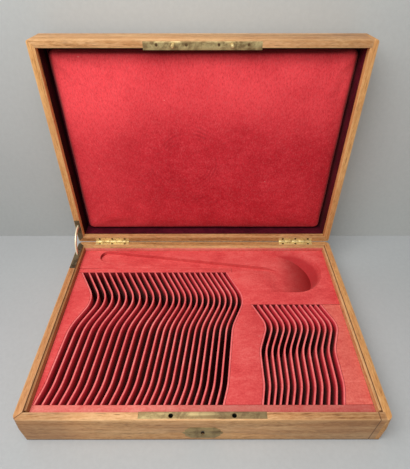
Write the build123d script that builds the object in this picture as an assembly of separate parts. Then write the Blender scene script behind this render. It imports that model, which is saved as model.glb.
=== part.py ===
from build123d import *
from math import asin, atan2, degrees, radians, tan
import os

# Antique oak cutlery chest with a hinged lid, standing open
#
# Millimetres, +X to the right, +Y to the back, +Z up.
# The origin is the centre of the underside, on the surface that the chest stands on.
# The lid is modelled shut and then turned open about the hinge axis.

# Chest: outer sizes and boards
case_length = 440.0
case_depth = 315.0
case_height = 55.0
lid_height = 44.0
lid_open_angle = 93.0
rim_gap = 0.4
wall = 9.5
foot_corner_radius = 2.0
rim_corner_radius = 7.5
lid_corner_radius = 3.5
corner_worn_above = 30.0
lap_joint = 7.0
foot_edge_radius = 1.2
top_edge_radius = 3.0
bottom_board_thickness = 6.0
top_board_thickness = 8.0

# Thin liner inside the case walls
liner_thickness = 3.0
liner_below_rim = 1.7
front_liner_below_rim = 6.5

# Fitted tray: floor, decks and strips, and the velvet turned up along the back
tray_floor_thickness = 2.0
deck_below_rim = 10.0
front_strip_width = 10.8
back_strip_width = 9.5
back_strip_length = 254.2
back_lining_thickness = 1.0
back_lining_height = 6.0
bar_thickness = 2.3

# Slots for table forks and spoons, which lie on edge
left_land = 2.6
wide_slot_count = 12
wide_slot_pitch = 10.16
narrow_slot_count = 12
narrow_slot_pitch = 9.04
table_slot_length = 225.7
table_bend_radius = 110.0
table_neck_radius = 80.0
table_belly_radius = 42.0

# Table slots: how far back each turn lies, how far right the line is there
# at the group's left end and right end, and how much further in the group's middle
table_start = (0.0, 0.0, 0.0, 0.0)
table_bend = (25.0, 5.6, 6.5, 2.0)
table_neck = (116.0, 12.5, 17.0, 3.5)
table_belly = (168.0, 36.0, 38.3, 4.0)
table_tip = (table_slot_length, 3.9, 12.5, 4.5)

# Slots for coffee spoons
middle_land = 47.4
right_land_least = 34.5
coffee_slot_pitch = 8.28
coffee_slot_length = 156.9
coffee_bend_radius = 70.0
coffee_neck_radius = 55.0
coffee_belly_radius = 30.0

# Coffee slots: the same four numbers for each turn
coffee_start = (0.0, 0.0, 0.0, -4.2)
coffee_bend = (25.0, 4.8, 6.4, -2.6)
coffee_neck = (77.0, 4.8, 7.5, -1.4)
coffee_belly = (118.0, 19.0, 22.5, 1.3)
coffee_tip = (coffee_slot_length, 0.6, 6.0, 2.3)

# Recess for a soup ladle
bowl_radius = 48.0
bowl_from_right = 61.2
bowl_from_back = 49.5
bowl_depth = 27.0
bowl_wall_lean = 24.0
ramp_length = 78.0
handle_depth = 6.5
handle_end_radius = 13.5
handle_end_from_left = 42.5
handle_end_from_back = 15.2
handle_neck_radius = 4.0
handle_neck_down_ramp = 26.0

# Inside of the lid
lid_panel_below_rim = 17.5
pad_board_thickness = 2.0
pad_crown = 2.5
pad_edge_radius = 4.5
pad_corner_radius = 9.0
pad_draw_in = 1.2
pad_gap = 4.5
pad_gap_at_hinges = 1.0
lining_thickness = 1.2
lining_below_rim = 9.0

# Brass butt hinges
hinge_length = 58.0
hinge_from_end = 59.0
hinge_axis_behind = 0.4
knuckle_radius = 2.4
knuckle_count = 5
knuckle_gap = 0.2
knuckle_clearance = 0.4
hinge_pin_radius = 1.0
hinge_pin_play = 0.05
leaf_width = 8.2
leaf_thickness = 1.2
leaf_screw_spacing = 22.0

# Wood screws
screw_head_radius = 1.9
screw_shank_radius = 1.0
screw_length = 9.0
screw_slot_width = 0.5
screw_slot_depth = 0.4
screw_cone_depth = 1.0

# Quadrant stay at the left end
stay_radius = 32.0
stay_arm_width = 5.0
stay_arm_thickness = 2.0
stay_head_width = 8.0
stay_head_angle = 4.0
stay_pocket_spare = 3.0
stay_play = 0.5
stay_plate_thickness = 1.5
stay_plate_margin = 0.4
stay_case_plate_length = 66.0
stay_lid_plate_length = 44.0
stay_front_screw_inset = 6.5
stay_rear_screw_at = 20.0

# Lock in the front wall
plate_thickness = 1.5
plate_length = 150.0
selvedge_width = 8.4
selvedge_set_back = 1.8
strike_width = 9.8
strike_set_back = 2.1
strike_screws_from_edge = 3.9
plate_end_screw_at = 58.0
plate_inner_screw_at = 20.5
stud_spacing = 74.0
stud_radius = 2.0
stud_length = 13.0
stud_chamfer = 0.7
stud_eye_top = 6.4
stud_eye_height = 4.0
stud_eye_width = 2.6
stud_hole_radius = 2.85
rivet_radius = 1.3
lock_set_back = 5.6
lock_case_length = 106.0
lock_case_height = 40.0
lock_case_thickness = 6.2
lock_sheet = 0.6
bolt_travel = 5.5
bolt_bar_top = 18.0
bolt_bar_height = 6.0
bolt_side_play = 0.2
bolt_post_play = 0.1
bolt_finger_thickness = 1.8
bolt_finger_height = 2.4
bolt_finger_top = 7.4
bolt_finger_clear = 0.8
bolt_upright_width = 3.5
talon_width = 8.0
talon_depth = 2.6
post_width = 6.0
post_height = 3.0
post_at = 26.0
spring_thickness = 0.5
spring_left_end = 22.0
spring_right_end = 14.0
key_pin_radius = 0.9
keyhole_below_rim = 33.5
keyhole_radius = 2.3
keyhole_slot_width = 1.8
keyhole_slot_length = 6.5

# Escutcheon on the front face
escutcheon_length = 49.0
escutcheon_height = 29.0
escutcheon_cut = 7.0
escutcheon_tip_radius = 3.0
escutcheon_thickness = 1.2
escutcheon_proud = 0.3
escutcheon_pin_radius = 0.7
escutcheon_pin_inset = 4.0
escutcheon_pin_short_of_lock = 0.3

# How far cutters, and bodies that join others, run past a face
overrun = 1.0

# Places that follow from the sizes above
half_length = case_length / 2
half_depth = case_depth / 2
inner_left = -half_length + wall
inner_right = half_length - wall
inner_front = -half_depth + wall
inner_back = half_depth - wall
tray_left = inner_left + liner_thickness
tray_right = inner_right - liner_thickness
tray_front = inner_front + liner_thickness
tray_back = inner_back - liner_thickness
floor_top = bottom_board_thickness + tray_floor_thickness
deck_top = case_height - deck_below_rim
slots_front = tray_front + front_strip_width
table_back = slots_front + table_slot_length
coffee_back = slots_front + coffee_slot_length
wide_width = wide_slot_count * wide_slot_pitch
table_width = wide_width + narrow_slot_count * narrow_slot_pitch
table_left = tray_left + left_land
table_right = table_left + table_width
coffee_left = table_right + middle_land
coffee_room = tray_right - right_land_least - coffee_left
coffee_slot_count = int(coffee_room / coffee_slot_pitch)
coffee_width = coffee_slot_count * coffee_slot_pitch
coffee_right = coffee_left + coffee_width
lid_rim = case_height + rim_gap
lid_top = lid_rim + lid_height
top_board_underside = lid_top - top_board_thickness
hinge_centre = half_length - hinge_from_end
axis_y = half_depth + hinge_axis_behind
axis_z = case_height + rim_gap / 2
lock_y = -half_depth + lock_set_back
lock_top = case_height - plate_thickness
stay_x = -half_length + wall / 2


# Small helpers
def block(x_low, x_high, y_low, y_high, z_low, z_high):
    """A box between two opposite corners."""
    centre = Pos((x_low + x_high) / 2, (y_low + y_high) / 2, (z_low + z_high) / 2)
    return centre * Box(x_high - x_low, y_high - y_low, z_high - z_low)


def rectangle(x_low, x_high, y_low, y_high):
    """A flat rectangle between two opposite corners."""
    centre = Pos((x_low + x_high) / 2, (y_low + y_high) / 2)
    return centre * Rectangle(x_high - x_low, y_high - y_low)


def prism(sketch, z_low, z_high):
    """A flat shape carried straight up from one height to another."""
    return extrude(Pos(0, 0, z_low) * sketch, z_high - z_low, dir=(0, 0, 1))


def shaft(radius, start, direction, length):
    """A round bar from a point along a direction."""
    return extrude(Plane(origin=start, z_dir=direction) * Circle(radius), length)


def opened(piece):
    """Turn a piece of the shut lid to where it is when the lid stands open."""
    return piece.rotate(Axis((0, axis_y, axis_z), (1, 0, 0)), -lid_open_angle)


def screw(x, y, z, down=True):
    """Countersunk wood screw whose slotted head lies flush at z."""
    sign = -1 if down else 1
    profile = Polyline(
        (0, 0),
        (screw_head_radius, 0),
        (screw_shank_radius, sign * screw_cone_depth),
        (screw_shank_radius, sign * (screw_length - screw_shank_radius)),
        (0, sign * screw_length),
        close=True,
    )
    body = revolve(Plane.XZ * make_face(profile), Axis.Z)
    return Pos(x, y, z) * body


def screw_slot(x, y, z):
    """Cutter for the slot across a screw head."""
    return Pos(x, y, z) * Box(3 * screw_head_radius, screw_slot_width, 2 * screw_slot_depth)


def place_screws(spots, down=True):
    """Screws as whole bodies, and the same bodies with slotted heads."""
    whole = [screw(*spot, down) for spot in spots]
    slotted = [body - screw_slot(*spot) for body, spot in zip(whole, spots)]
    return whole, slotted


def cut_all(piece, cutters):
    """Take a list of bodies out of a piece."""
    for cutter in cutters:
        piece = piece - cutter
    return piece


def ring_sector(r_in, r_out, low_angle, high_angle, thickness):
    """Part of a ring about the hinge axis, from the rim plane upwards for positive angles."""
    start = 180 - high_angle
    span = high_angle - low_angle
    outer = CenterArc((0, 0), r_out, start, span)
    inner = CenterArc((0, 0), r_in, start, span)
    ends = [Line(inner @ 0, outer @ 0), Line(inner @ 1, outer @ 1)]
    face = make_face([outer, inner, *ends])
    place = Plane((stay_x - thickness / 2, axis_y, axis_z), x_dir=(0, 1, 0), z_dir=(1, 0, 0))
    return extrude(place * face, thickness)


# Frame of four boards
def footprint(radius):
    return RectangleRounded(case_length, case_depth, radius)


def board_outline(side):
    """Plan of one board: three mitred corners, and a lapped one at the front right."""
    x, y, m = half_length, half_depth, 2 * wall
    front_lap = [(x - lap_joint, -y), (x - lap_joint, -y + wall)]
    outlines = {
        "front": [(-x, -y), *front_lap, (-x + wall, -y + wall)],
        "right": [*front_lap, (x - m, -y + wall), (x - m, y - m), (x, y), (x, -y)],
        "back": [(-x, y), (x, y), (x - m, y - m), (-x + m, y - m)],
        "left": [(-x, -y), (-x, y), (-x + m, y - m), (-x + m, -y + m)],
    }
    return make_face(Polyline(*outlines[side], close=True))


def case_ring():
    """The case's four boards in one piece, with upright edges that are worn round near the rim."""
    low_edge = Pos(0, 0, corner_worn_above) * footprint(foot_corner_radius)
    rim_edge = Pos(0, 0, case_height) * footprint(rim_corner_radius)
    outside = prism(footprint(foot_corner_radius), 0, corner_worn_above)
    outside = outside + loft([low_edge, rim_edge], ruled=True)
    outside = fillet(outside.edges().group_by(Axis.Z)[0], foot_edge_radius)
    return outside - block(inner_left, inner_right, inner_front, inner_back, 0, case_height)


def lid_ring():
    outside = prism(footprint(lid_corner_radius), lid_rim, top_board_underside)
    return outside - block(inner_left, inner_right, inner_front, inner_back, lid_rim, lid_top)


def board(ring, side):
    return ring & prism(board_outline(side), -overrun, lid_top + overrun)


# Quadrant stay
def stay_pocket(upward):
    """Curved pocket in a side board that the arm slides into."""
    reach = lid_open_angle / 2 + 2 * stay_head_angle + stay_pocket_spare
    half = stay_head_width / 2 + stay_play
    thick = stay_arm_thickness + 2 * stay_play
    if upward:
        return ring_sector(stay_radius - half, stay_radius + half, 0, reach, thick)
    return ring_sector(stay_radius - half, stay_radius + half, -reach, 0, thick)


def stay_slot(z_low, z_high):
    """Opening in a stay plate for the arm."""
    half_thick = stay_arm_thickness / 2 + stay_play
    near = stay_radius - stay_arm_width / 2 - stay_play
    far = stay_radius + stay_arm_width / 2 + stay_play
    return block(stay_x - half_thick, stay_x + half_thick, axis_y - far, axis_y - near, z_low, z_high)


def stay_plate_outline(length):
    """Plan of a stay plate, cut at the back along the mitre."""
    outer = -half_length + stay_plate_margin
    inner = inner_left - stay_plate_margin
    front = half_depth - length
    outline = Polyline(
        (outer, front),
        (inner, front),
        (inner, half_depth - (inner + half_length)),
        (outer, half_depth - (outer + half_length)),
        close=True,
    )
    return make_face(outline) & footprint(rim_corner_radius)


def stay_spots(length, z):
    front = half_depth - length + stay_front_screw_inset
    return [(stay_x, front, z), (stay_x, half_depth - stay_rear_screw_at, z)]


def stay_arm():
    """Curved arm with a stop head at each end, half in the lid and half in the case."""
    plate_angle = degrees(atan2(rim_gap / 2 + stay_plate_thickness, stay_radius))
    stop = plate_angle + degrees(atan2(stay_play, stay_radius))
    half = stay_arm_width / 2
    head = stay_head_width / 2
    ends = stop + stay_head_angle
    thick = stay_arm_thickness
    arm = ring_sector(stay_radius - half, stay_radius + half, -ends, lid_open_angle + ends, thick)
    low = ring_sector(stay_radius - head, stay_radius + head, -ends, -stop, thick)
    high_start = lid_open_angle + stop
    high = ring_sector(stay_radius - head, stay_radius + head, high_start, lid_open_angle + ends, thick)
    return arm + low + high


# Butt hinges
def hinge_relief(x_centre):
    """Round clearance about the knuckles."""
    length = hinge_length + 2 * knuckle_clearance
    start = (x_centre - length / 2, axis_y, axis_z)
    return shaft(knuckle_radius + knuckle_clearance, start, (1, 0, 0), length)


def leaf_plate(x_centre, z_low, z_high):
    near = axis_y - knuckle_radius - knuckle_clearance
    half = hinge_length / 2
    return block(x_centre - half, x_centre + half, axis_y - leaf_width, near, z_low, z_high)


def hinge_leaf(x_centre, on_lid):
    """One leaf, with every other knuckle."""
    if on_lid:
        z_low, z_high = lid_rim, lid_rim + leaf_thickness
        numbers = range(1, knuckle_count, 2)
        bore = hinge_pin_radius + hinge_pin_play
    else:
        z_low, z_high = case_height - leaf_thickness, case_height
        numbers = range(0, knuckle_count, 2)
        bore = hinge_pin_radius
    leaf = leaf_plate(x_centre, z_low, z_high)
    pitch = hinge_length / knuckle_count
    near = axis_y - knuckle_radius - knuckle_clearance
    inside = axis_y - (knuckle_radius + hinge_pin_radius) / 2
    for number in numbers:
        x_low = x_centre - hinge_length / 2 + number * pitch + knuckle_gap / 2
        x_high = x_low + pitch - knuckle_gap
        leaf = leaf + block(x_low, x_high, near - overrun, inside, z_low, z_high)
        leaf = leaf + shaft(knuckle_radius, (x_low, axis_y, axis_z), (1, 0, 0), pitch - knuckle_gap)
    start = (x_centre - hinge_length / 2, axis_y, axis_z)
    return leaf - shaft(bore, start, (1, 0, 0), hinge_length)


def hinge_pin(x_centre):
    inset = knuckle_gap / 2
    start = (x_centre - hinge_length / 2 + inset, axis_y, axis_z)
    return shaft(hinge_pin_radius, start, (1, 0, 0), hinge_length - 2 * inset)


def leaf_spots(x_centre, z):
    y = axis_y - (leaf_width + knuckle_radius + knuckle_clearance) / 2
    return [(x_centre + step * leaf_screw_spacing, y, z) for step in (-1, 0, 1)]


def leaf_pocket(x_centre, z_low, z_high):
    half = hinge_length / 2
    back = half_depth + overrun
    return block(x_centre - half, x_centre + half, axis_y - leaf_width, back, z_low, z_high)


# Lock
def plate(width, set_back, z_low, z_high):
    front = -half_depth + set_back
    half = plate_length / 2
    return block(-half, half, front, front + width, z_low, z_high)


def stud_places():
    return [-stud_spacing / 2, stud_spacing / 2]


def keyhole(y_low, y_high):
    """Round hole with a slot below it."""
    z = case_height - keyhole_below_rim
    half = keyhole_slot_width / 2
    hole = shaft(keyhole_radius, (0, y_low, z), (0, 1, 0), y_high - y_low)
    return hole + block(-half, half, y_low, y_high, z - keyhole_slot_length, z)


def lock_outside():
    half = lock_case_length / 2
    thick = lock_case_thickness / 2
    return block(-half, half, lock_y - thick, lock_y + thick, lock_top - lock_case_height, lock_top)


def bolt_bar_z():
    top = case_height - bolt_bar_top
    return top - bolt_bar_height, top


def lock_case():
    """Sheet brass box, open towards the inside of the chest."""
    half = lock_case_length / 2 - lock_sheet
    front = lock_y - lock_case_thickness / 2 + lock_sheet
    back = lock_y + lock_case_thickness / 2
    low = lock_top - lock_case_height + lock_sheet
    box = lock_outside() - block(-half, half, front, back, low, lock_top - lock_sheet)
    post_top = bolt_bar_z()[0] - bolt_post_play
    cap_face = back - lock_sheet
    for x in (-post_at, post_at):
        x_low = x - post_width / 2
        box = box + block(x_low, x_low + post_width, front, cap_face, post_top - post_height, post_top)
    holes = [shaft(stud_hole_radius, (x, lock_y, lock_top), (0, 0, -1), lock_sheet) for x in stud_places()]
    return cut_all(box, holes + lock_rivets()) - keyhole(front - 2 * lock_sheet, front)


def lock_cap():
    """Cover sheet that closes the lock."""
    half = lock_case_length / 2 - lock_sheet
    back = lock_y + lock_case_thickness / 2
    low = lock_top - lock_case_height + lock_sheet
    return block(-half, half, back - lock_sheet, back, low, lock_top - lock_sheet)


def lock_rivets():
    """Two rivets that hold the selvedge to the lock."""
    length = plate_thickness + lock_sheet
    return [
        shaft(rivet_radius, (x, lock_y, case_height), (0, 0, -1), length)
        for x in (-plate_inner_screw_at, plate_inner_screw_at)
    ]


def lock_bolt():
    """Sliding bar with two fingers that enter the eyes of the studs."""
    low, top = bolt_bar_z()
    cavity = lock_case_thickness - 2 * lock_sheet
    half = cavity / 2 - bolt_side_play
    finger_half = bolt_finger_thickness / 2
    finger_top = case_height - bolt_finger_top
    finger_end = -stud_radius - bolt_finger_clear
    upright_right = -stud_radius - bolt_travel - bolt_finger_clear / 2
    upright_left = upright_right - bolt_upright_width
    first, last = stud_places()
    bar = block(first + upright_left, last + upright_right, lock_y - half, lock_y + half, low, top)
    for x in (first, last):
        y_low, y_high = lock_y - finger_half, lock_y + finger_half
        bar = bar + block(x + upright_left, x + upright_right, y_low, y_high, low, finger_top)
        low_edge = finger_top - bolt_finger_height
        bar = bar + block(x + upright_left, x + finger_end, y_low, y_high, low_edge, finger_top)
    half_talon = talon_width / 2
    return bar - block(-half_talon, half_talon, lock_y - half, lock_y + half, low, low + talon_depth)


def lock_spring():
    """Curved leaf that hangs from the top of the lock and lies level where it meets the bolt."""
    top = lock_top - lock_sheet
    low = bolt_bar_z()[1] + bolt_post_play + spring_thickness / 2
    across = spring_left_end + spring_right_end
    radius = (across**2 + (top - low) ** 2) / (2 * (top - low))
    sweep = degrees(asin(across / radius))
    arc = CenterArc((spring_right_end, low + radius), radius, -90 - sweep, sweep)
    leaf = trace(arc, line_width=spring_thickness)
    half = bolt_finger_thickness / 2
    strip = extrude(Plane((0, lock_y + half, 0), x_dir=(1, 0, 0), z_dir=(0, -1, 0)) * leaf, 2 * half)
    return strip & block(-half_length, half_length, -half_depth, 0, 0, top)


def key_pin():
    front = lock_y - lock_case_thickness / 2 + lock_sheet
    length = lock_case_thickness - 2 * lock_sheet
    z = case_height - keyhole_below_rim
    return shaft(key_pin_radius, (0, front, z), (0, 1, 0), length)


def strike_studs():
    """Two round posts, each with an eye for a bolt finger."""
    eye_top = lid_rim - stud_eye_top
    eye_low = eye_top - stud_eye_height
    half = stud_eye_width / 2
    far = 2 * stud_radius
    studs = []
    for x in stud_places():
        post = shaft(stud_radius, (x, lock_y, lid_rim), (0, 0, -1), stud_length)
        post = chamfer(post.edges().group_by(Axis.Z)[0], stud_chamfer)
        eye = block(x - far, x + far, lock_y - half, lock_y + half, eye_low, eye_top)
        studs.append(post - eye)
    return studs


def strike_spots():
    y = -half_depth + strike_set_back + strike_screws_from_edge
    places = (-plate_end_screw_at, -plate_inner_screw_at, plate_inner_screw_at, plate_end_screw_at)
    return [(x, y, lid_rim) for x in places]


def selvedge_spots():
    return [(x, lock_y, case_height) for x in (-plate_end_screw_at, plate_end_screw_at)]


# Escutcheon
def escutcheon_outline():
    """Long plate with cut corners and a round tip at each end."""
    x, z, cut = escutcheon_length / 2 - escutcheon_tip_radius, escutcheon_height / 2, escutcheon_cut
    outline = Polyline(
        (-x, -z + cut), (-x + cut, -z), (x - cut, -z), (x, -z + cut),
        (x, z - cut), (x - cut, z), (-x + cut, z), (-x, z - cut),
        close=True,
    )
    plan = make_face(outline)
    tips = [Pos(side * x, 0) * Circle(escutcheon_tip_radius) for side in (-1, 1)]
    return plan + tips[0] + tips[1]


def escutcheon_solid(y_front, y_back):
    """The outline standing in the front face, between two depths."""
    z = case_height - keyhole_below_rim
    face = Plane((0, y_back, z), x_dir=(1, 0, 0), z_dir=(0, -1, 0))
    return extrude(face * escutcheon_outline(), y_back - y_front)


def escutcheon_pins():
    x = escutcheon_length / 2 - escutcheon_tip_radius - escutcheon_pin_inset
    z = case_height - keyhole_below_rim
    y = -half_depth - escutcheon_proud
    lock_front = lock_y - lock_case_thickness / 2
    length = lock_front - escutcheon_pin_short_of_lock - y
    return [shaft(escutcheon_pin_radius, (side * x, y, z), (0, 1, 0), length) for side in (-1, 1)]


# Fitted tray
def side_profile(points, radii):
    """Line of a fork or spoon seen from the side, as straight runs and round bends."""
    first, second = points[0], points[1]
    last, before = points[-1], points[-2]
    spare = bar_thickness * 3
    start = (first[0] - (second[0] - first[0]) * spare / (second[1] - first[1]), first[1] - spare)
    end = (last[0] + (last[0] - before[0]) * spare / (last[1] - before[1]), last[1] + spare)
    return FilletPolyline(start, *points[1:-1], end, radius=radii)


def slot_line(x, share, turns, radii):
    """Line between two slots, from its front end at x. The share is its place across the group."""
    points = []
    for along, at_left, at_right, in_middle in turns:
        shift = at_left * (1 - share) + at_right * share + in_middle * 4 * share * (1 - share)
        points.append((x + shift, slots_front + along))
    return side_profile(points, radii)


def table_line(x):
    turns = [table_start, table_bend, table_neck, table_belly, table_tip]
    radii = [table_bend_radius, table_neck_radius, table_belly_radius]
    return slot_line(x, (x - table_left) / table_width, turns, radii)


def coffee_line(x):
    turns = [coffee_start, coffee_bend, coffee_neck, coffee_belly, coffee_tip]
    radii = [coffee_bend_radius, coffee_neck_radius, coffee_belly_radius]
    return slot_line(x, (x - coffee_left) / coffee_width, turns, radii)


def bar(line, back):
    """One upright bar along a line, cut off square at both ends of its slots."""
    clip = block(-half_length, half_length, slots_front, back, floor_top, deck_top)
    return prism(trace(line, line_width=bar_thickness), floor_top, deck_top) & clip


def slot_area(left_line, right_line, back):
    """Plan of a whole group of slots with its border bars."""
    ends = [Line(left_line @ 0, right_line @ 0), Line(left_line @ 1, right_line @ 1)]
    inside = make_face([*left_line.edges(), *right_line.edges(), *ends])
    area = inside + trace(left_line, line_width=bar_thickness)
    area = area + trace(right_line, line_width=bar_thickness)
    return area & rectangle(-half_length, half_length, slots_front, back)


def wide_places():
    return [table_left + step * wide_slot_pitch for step in range(1, wide_slot_count + 1)]


def narrow_places():
    start = table_left + wide_width
    return [start + step * narrow_slot_pitch for step in range(1, narrow_slot_count)]


def coffee_places():
    return [coffee_left + step * coffee_slot_pitch for step in range(1, coffee_slot_count)]


def ladle_cut():
    """Hollow for a ladle: a bowl with a leaning wall and a ramp, and a tapering handle groove."""
    bowl_x = tray_right - bowl_from_right
    bowl_y = tray_back - bowl_from_back
    wall_foot = bowl_depth * tan(radians(bowl_wall_lean))
    ramp_start = bowl_x + bowl_radius - wall_foot - ramp_length
    near, far = bowl_y - bowl_radius, bowl_y + bowl_radius
    round_end = CenterArc((bowl_x, bowl_y), bowl_radius, -90, 180)
    sides = Polyline(round_end @ 1, (ramp_start, far), (ramp_start, near), round_end @ 0)
    mouth = make_face([round_end, sides])
    bowl = extrude(Pos(0, 0, deck_top) * mouth, -bowl_depth, taper=bowl_wall_lean)
    slope = Polyline(
        (ramp_start, deck_top),
        (ramp_start + ramp_length, deck_top - bowl_depth),
        (ramp_start + ramp_length, 0),
        (ramp_start - bowl_depth, 0),
        (ramp_start - bowl_depth, deck_top),
        close=True,
    )
    under_ramp = extrude(Plane.XZ * make_face(slope), half_depth, both=True)
    groove_x = tray_left + handle_end_from_left
    groove_y = tray_back - handle_end_from_back
    handle_end = Pos(groove_x, groove_y) * Circle(handle_end_radius)
    neck = Pos(ramp_start + handle_neck_down_ramp, bowl_y) * Circle(handle_neck_radius)
    outline = make_hull((handle_end + neck).edges())
    groove = prism(outline, deck_top - handle_depth, deck_top + overrun)
    return (bowl - under_ramp) + groove


# Padded panel in the lid
def lid_pad():
    """Pad with a crowned face, round edges and sides drawn in between the corners."""
    half_x = inner_right - lining_thickness - pad_gap
    front = inner_front + lining_thickness + pad_gap
    back = inner_back - lining_thickness - pad_gap_at_hinges
    middle, half_y = (front + back) / 2, (back - front) / 2
    corners = [(-half_x, -half_y), (half_x, -half_y), (half_x, half_y), (-half_x, half_y)]
    mids = [(0, -half_y + pad_draw_in), (half_x - pad_draw_in, 0)]
    mids += [(0, half_y - pad_draw_in), (-half_x + pad_draw_in, 0)]
    sides = [ThreePointArc(corners[i], mids[i], corners[(i + 1) % 4]) for i in range(4)]
    plan = make_face(sides)
    plan = fillet(plan.vertices(), pad_corner_radius)
    underside = top_board_underside - pad_board_thickness
    face = lid_rim + lid_panel_below_rim
    crown_radius = (half_x**2 + half_y**2) / (2 * pad_crown)
    ball = Pos(0, 0, face + crown_radius) * Rot(90, 0, 0) * Sphere(crown_radius)
    pad = prism(plan, face - overrun, underside) & ball
    crowned_face = pad.faces().sort_by(Axis.Z)[0]
    return Pos(0, middle, 0) * fillet(crowned_face.edges(), pad_edge_radius)


def lining(side):
    """Velvet-covered strip along one rail inside the lid."""
    z_low, z_high = lid_rim + lining_below_rim, top_board_underside
    t = lining_thickness
    places = {
        "front": (inner_left, inner_right, inner_front, inner_front + t),
        "back": (inner_left, inner_right, inner_back - t, inner_back),
        "left": (inner_left, inner_left + t, inner_front + t, inner_back - t),
        "right": (inner_right - t, inner_right, inner_front + t, inner_back - t),
    }
    return block(*places[side], z_low, z_high)


def liner(side):
    """Thin strip along one wall of the case."""
    below_rim = front_liner_below_rim if side == "front" else liner_below_rim
    z_low, z_high = bottom_board_thickness, case_height - below_rim
    places = {
        "front": (inner_left, inner_right, inner_front, tray_front),
        "back": (inner_left, inner_right, tray_back, inner_back),
        "left": (inner_left, tray_left, tray_front, tray_back),
        "right": (tray_right, inner_right, tray_front, tray_back),
    }
    return block(*places[side], z_low, z_high)


# Put the chest together
parts = {}

case = case_ring()
hinge_places = {"left": -hinge_centre, "right": hinge_centre}

case_leaf_spots = [s for x in hinge_places.values() for s in leaf_spots(x, case_height)]
case_leaf_screws, parts["hinge_case_screws"] = place_screws(case_leaf_spots)
stay_case_spots = stay_spots(stay_case_plate_length, case_height)
stay_case_whole, parts["stay_case_screws"] = place_screws(stay_case_spots)
selvedge_whole, parts["lock_screws"] = place_screws(selvedge_spots())

stay_case_pocket = prism(
    stay_plate_outline(stay_case_plate_length), case_height - stay_plate_thickness, case_height
)
selvedge_pocket = plate(selvedge_width, selvedge_set_back, lock_top, case_height)

wall_cutters = {
    "front": [selvedge_pocket, lock_outside(), *selvedge_whole],
    "back": [*case_leaf_screws],
    "left": [stay_case_pocket, stay_pocket(False), *stay_case_whole],
    "right": [],
}
front_face = -half_depth
escutcheon_back = front_face - escutcheon_proud + escutcheon_thickness
wall_cutters["front"].append(escutcheon_solid(front_face - overrun, escutcheon_back))
wall_cutters["front"].append(keyhole(front_face - overrun, lock_y))
wall_cutters["front"].extend(escutcheon_pins())
for x in hinge_places.values():
    wall_cutters["back"].append(leaf_pocket(x, case_height - leaf_thickness, case_height))
    wall_cutters["back"].append(hinge_relief(x))
for side, cutters in wall_cutters.items():
    parts["case_" + side + "_wall"] = cut_all(board(case, side), cutters)
    parts["case_liner_" + side] = liner(side)
parts["case_bottom_board"] = block(
    inner_left, inner_right, inner_front, inner_back, 0, bottom_board_thickness
)

parts["tray_floor"] = block(
    tray_left, tray_right, tray_front, tray_back, bottom_board_thickness, floor_top
)
parts["tray_front_strip"] = block(tray_left, tray_right, tray_front, slots_front, floor_top, deck_top)
strip_right = tray_left + back_strip_length
strip_back = table_back + back_strip_width
parts["tray_back_strip"] = block(
    tray_left, strip_right, table_back, strip_back, floor_top, deck_top
)
parts["tray_back_lining"] = block(
    tray_left, tray_right, tray_back - back_lining_thickness, tray_back, deck_top, deck_top + back_lining_height
)
table_area = slot_area(table_line(table_left), table_line(table_right), table_back)
coffee_area = slot_area(coffee_line(coffee_left), coffee_line(coffee_right), coffee_back)
table_middle = table_left + table_width / 2
coffee_middle = coffee_left + coffee_width / 2
left_plan = rectangle(tray_left, table_middle, slots_front, table_back) - table_area
middle_plan = rectangle(table_middle, coffee_middle, slots_front, coffee_back) - table_area - coffee_area
right_plan = rectangle(coffee_middle, tray_right, slots_front, coffee_back) - coffee_area
ladle_plan = rectangle(tray_left, tray_right, coffee_back, tray_back) - table_area
ladle_plan = ladle_plan - rectangle(tray_left, table_middle, coffee_back, table_back)
ladle_plan = ladle_plan - rectangle(tray_left, strip_right, table_back, strip_back)
parts["tray_left_deck"] = prism(left_plan, floor_top, deck_top)
parts["tray_middle_deck"] = prism(middle_plan, floor_top, deck_top)
parts["tray_right_deck"] = prism(right_plan, floor_top, deck_top)
parts["tray_ladle_block"] = prism(ladle_plan, floor_top, deck_top) - ladle_cut()
parts["table_bars_wide"] = [bar(table_line(x), table_back) for x in wide_places()]
parts["table_bars_narrow"] = [bar(table_line(x), table_back) for x in narrow_places()]
parts["table_border_bars"] = [bar(table_line(x), table_back) for x in (table_left, table_right)]
parts["coffee_bars"] = [bar(coffee_line(x), coffee_back) for x in coffee_places()]
parts["coffee_border_bars"] = [bar(coffee_line(x), coffee_back) for x in (coffee_left, coffee_right)]

selvedge = cut_all(selvedge_pocket, selvedge_whole)
selvedge_holes = [
    shaft(stud_hole_radius, (x, lock_y, case_height), (0, 0, -1), plate_thickness)
    for x in stud_places()
]
parts["lock_selvedge"] = cut_all(selvedge, selvedge_holes + lock_rivets())
parts["lock_rivets"] = lock_rivets()
parts["lock_case"] = lock_case()
parts["lock_cap"] = lock_cap()
parts["lock_bolt"] = lock_bolt()
parts["lock_spring"] = lock_spring()
parts["lock_key_pin"] = key_pin()
escutcheon = escutcheon_solid(front_face - escutcheon_proud, escutcheon_back)
escutcheon = escutcheon - keyhole(front_face - overrun, escutcheon_back)
parts["escutcheon"] = cut_all(escutcheon, escutcheon_pins())
parts["escutcheon_pins"] = escutcheon_pins()

stay_case_plate = stay_case_pocket - stay_slot(0, case_height + overrun)
parts["stay_case_plate"] = cut_all(stay_case_plate, stay_case_whole)
parts["stay_arm"] = stay_arm()

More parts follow.
